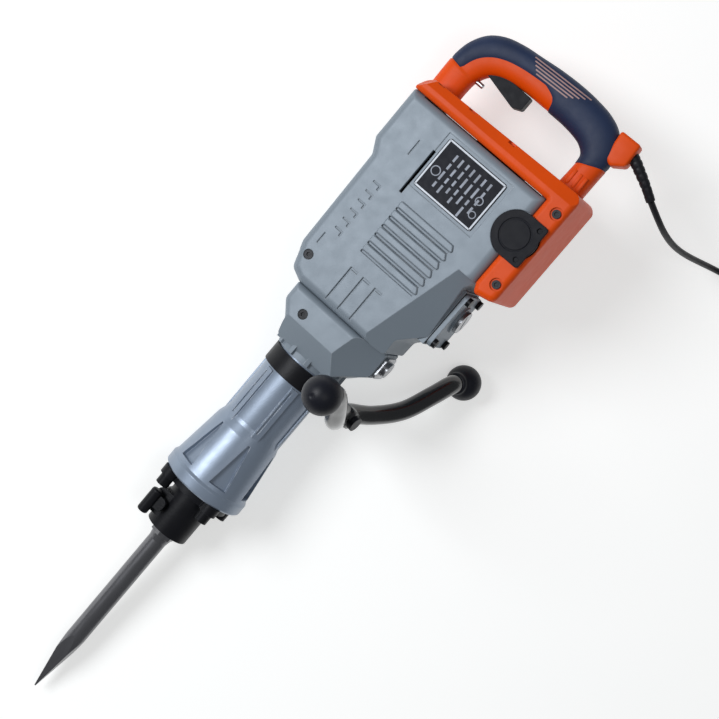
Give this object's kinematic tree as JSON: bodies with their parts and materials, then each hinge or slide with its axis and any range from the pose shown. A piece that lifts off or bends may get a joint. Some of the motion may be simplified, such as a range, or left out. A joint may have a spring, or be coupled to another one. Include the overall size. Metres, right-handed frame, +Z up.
{
  "type": "electric jackhammer",
  "caption": "Corded electric demolition hammer with a hexagon-shank point chisel, D-handle with trigger, and a clamped side handle, lying on its side.",
  "frame": {"origin": "on the floor under the middle of the tool as it lies, the mains lead left out", "axes": "+X along the hammer's axis towards the D-handle, +Z up from the floor the tool lies on, +Y towards the back edge of the casings"},
  "size_m": [1.1537, 0.6624, 0.3404],
  "materials": {
    "black_steel": "satin black paint",
    "chisel_steel": "forged dark steel",
    "screw_steel": "black oxide",
    "barrel_silver": "silver enamel on a casting",
    "casing_silver": "silver-grey enamel",
    "orange_shell": "moulded",
    "soft_grip": "soft touch",
    "black_plastic": "satin moulded",
    "bright_steel": "machined",
    "gasket": "matt",
    "plate_black": "printed black",
    "copper": "machined",
    "iron_core": "varnished",
    "fan_plastic": "moulded",
    "lead_rubber": "matt",
    "pin_brass": "nickel plated"
  },
  "bodies": {
    "housing": {"barrel": "barrel_silver", "bearings": "bright_steel", "bolt_guide": "bright_steel", "brush_caps": "black_plastic", "brush_holders": "black_plastic", "carbon_brushes": "iron_core", "case_screws": "screw_steel", "coil_tie": "lead_rubber", "cord": "lead_rubber", "cord_boot": "lead_rubber", "cord_coil": "lead_rubber", "cord_tail": "lead_rubber", "crank_case": "casing_silver", "crank_cover": "casing_silver", "crank_cover_screws": "screw_steel", "crank_gasket": "gasket", "cylinder_liner": "bright_steel", "front_cover": "black_steel", "front_cover_bolts": "screw_steel", "grease_cover": "bright_steel", "handle_grip": "soft_grip", "handle_screws": "screw_steel", "handle_shell_far": "orange_shell", "handle_shell_near": "orange_shell", "hex_bush": "screw_steel", "motor_housing": "casing_silver", "nameplate": "plate_black", "nose_damper": "gasket", "plug": "lead_rubber", "plug_pins": "pin_brass", "stator": "iron_core", "switch_body": "black_plastic", "tail_cover": "orange_shell", "tail_screws": "screw_steel", "trigger_pin": "screw_steel"},
    "chisel": {"chisel": "chisel_steel"},
    "retainer": {"tool_retainer": "black_steel"},
    "clamp": {"clamp_band": "black_steel", "clamp_bolt": "black_steel"},
    "side_handle": {"side_handle_bar": "black_plastic", "side_handle_knobs": "black_plastic"},
    "trigger": {"trigger": "black_plastic"},
    "lock_button": {"lock_button": "bright_steel"},
    "oil_cap": {"oil_cap": "bright_steel"},
    "armature": {"armature_shaft": "bright_steel", "drive_pinion": "bright_steel", "armature_core": "iron_core", "commutator": "copper", "cooling_fan": "fan_plastic"},
    "layshaft": {"layshaft": "bright_steel", "layshaft_wheel": "bright_steel"},
    "crank": {"crank_gear": "bright_steel", "crank_shaft": "bright_steel"},
    "piston": {"piston": "bright_steel", "piston_ring": "gasket", "wrist_pin": "bright_steel", "connecting_rod": "bright_steel", "crank_pin": "bright_steel"},
    "striker": {"striker": "bright_steel"},
    "impact_bolt": {"impact_bolt": "bright_steel"}
  },
  "joints": [
    {"name": "chisel_play", "type": "slide", "parent": "housing", "child": "chisel", "axis": [0.9938, 0, 0.1115], "range_m": [-0.012, 0.012]},
    {"name": "retainer_turn", "type": "hinge", "parent": "housing", "child": "retainer", "pos_m": [-0.21501, 0.06806, 0.04541], "axis": [-0.1012, 0.4201, 0.9018], "range_deg": [0, 90]},
    {"name": "clamp_turn", "type": "hinge", "parent": "housing", "child": "clamp", "pos_m": [0.02748, 0.049, 0.08148], "axis": [0.9938, 0, 0.1115], "range_deg": [-180, 180]},
    {"name": "handle_cant", "type": "hinge", "parent": "clamp", "child": "side_handle", "pos_m": [0.02251, -0.01745, 0.12576], "axis": [-0.0621, -0.8306, 0.5534], "range_deg": [-30, 10]},
    {"name": "trigger_pull", "type": "hinge", "parent": "housing", "child": "trigger", "pos_m": [0.47337, 0.10073, 0.1074], "axis": [-0.1012, 0.4201, 0.9018], "range_deg": [0, 8], "stiffness_Nm_per_rad": 1, "springref_deg": -11.46},
    {"name": "lock_press", "type": "slide", "parent": "housing", "child": "lock_button", "axis": [0.0468, 0.9075, -0.4175], "range_m": [0, 0.004], "stiffness_N_per_m": 400, "springref_m": -0.002},
    {"name": "oil_cap_turn", "type": "hinge", "parent": "housing", "child": "oil_cap", "pos_m": [0.20485, -0.05718, 0.15084], "axis": [-0.0468, -0.9075, 0.4175], "range_deg": [0, 360]},
    {"name": "armature_spin", "type": "hinge", "parent": "housing", "child": "armature", "pos_m": [0.33753, 0.049, 0.11626], "axis": [-0.0468, -0.9075, 0.4175], "continuous": true},
    {"name": "layshaft_spin", "type": "hinge", "parent": "housing", "child": "layshaft", "pos_m": [0.27011, 0.049, 0.1087], "axis": [-0.0468, -0.9075, 0.4175], "continuous": true},
    {"name": "crank_spin", "type": "hinge", "parent": "housing", "child": "crank", "pos_m": [0.19895, 0.049, 0.10072], "axis": [-0.0468, -0.9075, 0.4175], "continuous": true},
    {"name": "piston_stroke", "type": "slide", "parent": "housing", "child": "piston", "axis": [0.9938, 0, 0.1115], "range_m": [0, 0.034]},
    {"name": "striker_stroke", "type": "slide", "parent": "housing", "child": "striker", "axis": [0.9938, 0, 0.1115], "range_m": [-0.002, 0.015]},
    {"name": "impact_bolt_stroke", "type": "slide", "parent": "housing", "child": "impact_bolt", "axis": [0.9938, 0, 0.1115], "range_m": [-0.001, 0.013]}
  ],
  "couplings": [
    {"joint": "layshaft_spin", "follows": "armature_spin", "ratio": -0.22727},
    {"joint": "crank_spin", "follows": "armature_spin", "ratio": 0.081169}
  ]
}
